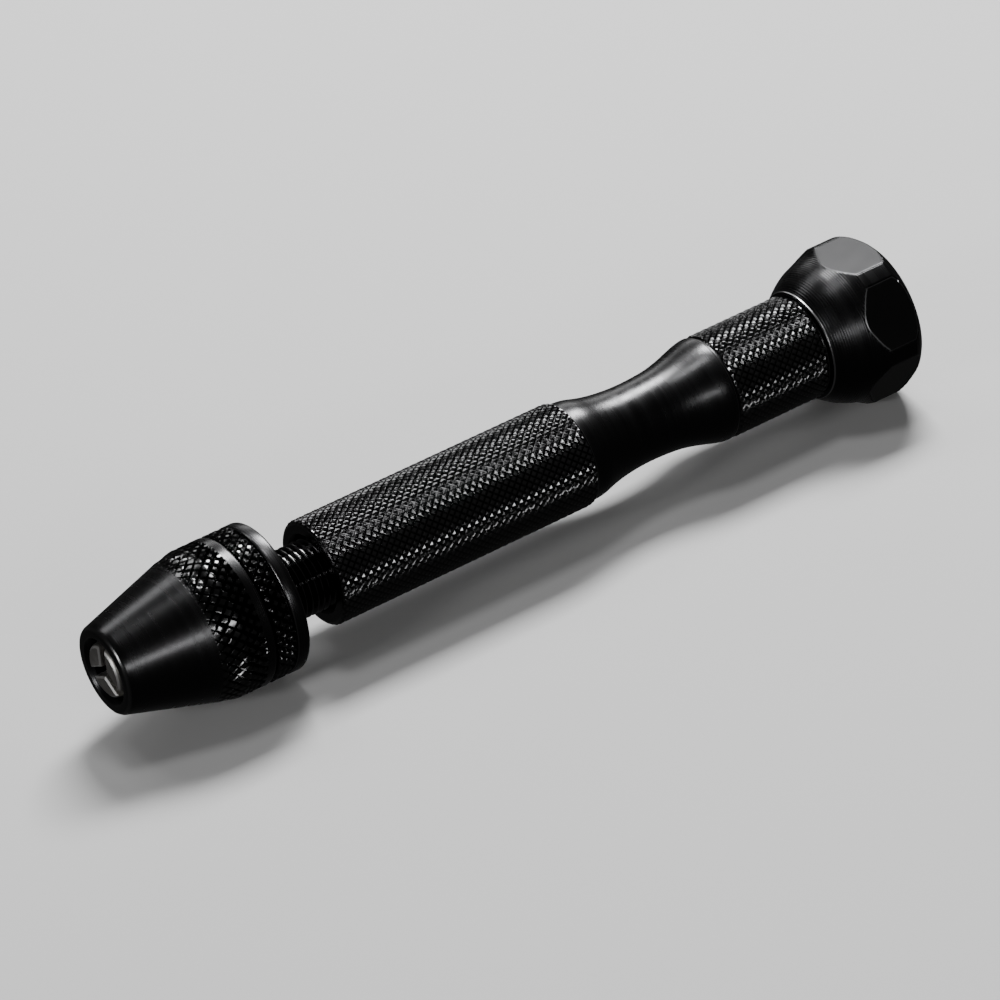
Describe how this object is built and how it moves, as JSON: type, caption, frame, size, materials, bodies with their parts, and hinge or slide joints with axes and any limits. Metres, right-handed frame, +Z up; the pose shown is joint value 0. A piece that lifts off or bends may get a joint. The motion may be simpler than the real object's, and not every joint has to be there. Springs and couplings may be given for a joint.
{
  "type": "hand drill",
  "caption": "Pin-vise hand drill with a tapered keyless chuck on a threaded stud, a knurled handle with a finger waist and a free-turning hexagonal cap.",
  "frame": {"origin": "centre of the bounding box's bottom, on the surface that the drill lies on", "axes": "+X from the chuck's nose to the swivel cap along the drill's axis, +Z up, one flat of the cap facing up"},
  "size_m": [0.102, 0.0186, 0.017],
  "materials": {
    "black_anodised": "satin black anodised, fine turning marks",
    "black_steel": "satin black oxide, fine turning marks",
    "jaw_steel": "ground dark steel with bare edges",
    "bearing_steel": "polished",
    "spring_steel": "drawn and stamped steel"
  },
  "bodies": {
    "handle": {"handle_body": "black_anodised", "chuck_stud": "black_steel", "bearing_inner_race": "bearing_steel", "cap_washer": "spring_steel", "cap_screw": "black_steel"},
    "thrust_disc": {"thrust_disc": "bearing_steel"},
    "chuck_core": {"chuck_core": "black_steel", "jaw_spring_1": "spring_steel", "jaw_spring_2": "spring_steel", "jaw_spring_3": "spring_steel"},
    "stop_ring": {"sleeve_stop_ring": "spring_steel"},
    "nose_sleeve": {"nose_sleeve": "black_steel"},
    "jaw_1": {"jaw_1": "jaw_steel"},
    "jaw_2": {"jaw_2": "jaw_steel"},
    "jaw_3": {"jaw_3": "jaw_steel"},
    "swivel_cap": {"swivel_cap": "black_anodised", "bearing_outer_race": "bearing_steel", "cap_end_plug": "black_anodised"},
    "ball_cage": {"ball_cage": "spring_steel", "bearing_ball_1": "bearing_steel", "bearing_ball_2": "bearing_steel", "bearing_ball_3": "bearing_steel", "bearing_ball_4": "bearing_steel", "bearing_ball_5": "bearing_steel", "bearing_ball_6": "bearing_steel", "bearing_ball_7": "bearing_steel"}
  },
  "joints": [
    {"name": "chuck_travel", "type": "slide", "parent": "handle", "child": "thrust_disc", "axis": [1, 0, 0], "range_m": [-0.0045, 0.003]},
    {"name": "chuck_turn", "type": "hinge", "parent": "thrust_disc", "child": "chuck_core", "pos_m": [-0.0355, 0, 0.0085], "axis": [1, 0, 0], "range_deg": [-2161, 1441]},
    {"name": "sleeve_travel", "type": "slide", "parent": "chuck_core", "child": "stop_ring", "axis": [-1, 0, 0], "range_m": [-0.0002, 0.0034]},
    {"name": "sleeve_turn", "type": "hinge", "parent": "stop_ring", "child": "nose_sleeve", "pos_m": [-0.043, 0, 0.0085], "axis": [-1, 0, 0], "range_deg": [-73, 1225]},
    {"name": "jaw_1_slide", "type": "slide", "parent": "chuck_core", "child": "jaw_1", "axis": [0, 0.848, 0.5299], "range_m": [-0.000051, 0.000851], "deforming": ["jaw_spring_1"]},
    {"name": "jaw_2_slide", "type": "slide", "parent": "chuck_core", "child": "jaw_2", "axis": [0, -0.8829, 0.4695], "range_m": [-0.000051, 0.000851], "deforming": ["jaw_spring_2"]},
    {"name": "jaw_3_slide", "type": "slide", "parent": "chuck_core", "child": "jaw_3", "axis": [0, 0.0349, -0.9994], "range_m": [-0.000051, 0.000851], "deforming": ["jaw_spring_3"]},
    {"name": "cap_turn", "type": "hinge", "parent": "handle", "child": "swivel_cap", "pos_m": [0.0436, 0, 0.0085], "axis": [1, 0, 0], "continuous": true},
    {"name": "cage_turn", "type": "hinge", "parent": "handle", "child": "ball_cage", "pos_m": [0.0436, 0, 0.0085], "axis": [1, 0, 0], "continuous": true}
  ],
  "couplings": [
    {"joint": "chuck_turn", "follows": "chuck_travel", "rad_per_m": 8377.6},
    {"joint": "sleeve_turn", "follows": "sleeve_travel", "rad_per_m": 6283.2},
    {"joint": "jaw_1_slide", "follows": "sleeve_travel", "ratio": 0.25},
    {"joint": "jaw_2_slide", "follows": "sleeve_travel", "ratio": 0.25},
    {"joint": "jaw_3_slide", "follows": "sleeve_travel", "ratio": 0.25},
    {"joint": "cage_turn", "follows": "cap_turn", "ratio": 0.6}
  ]
}
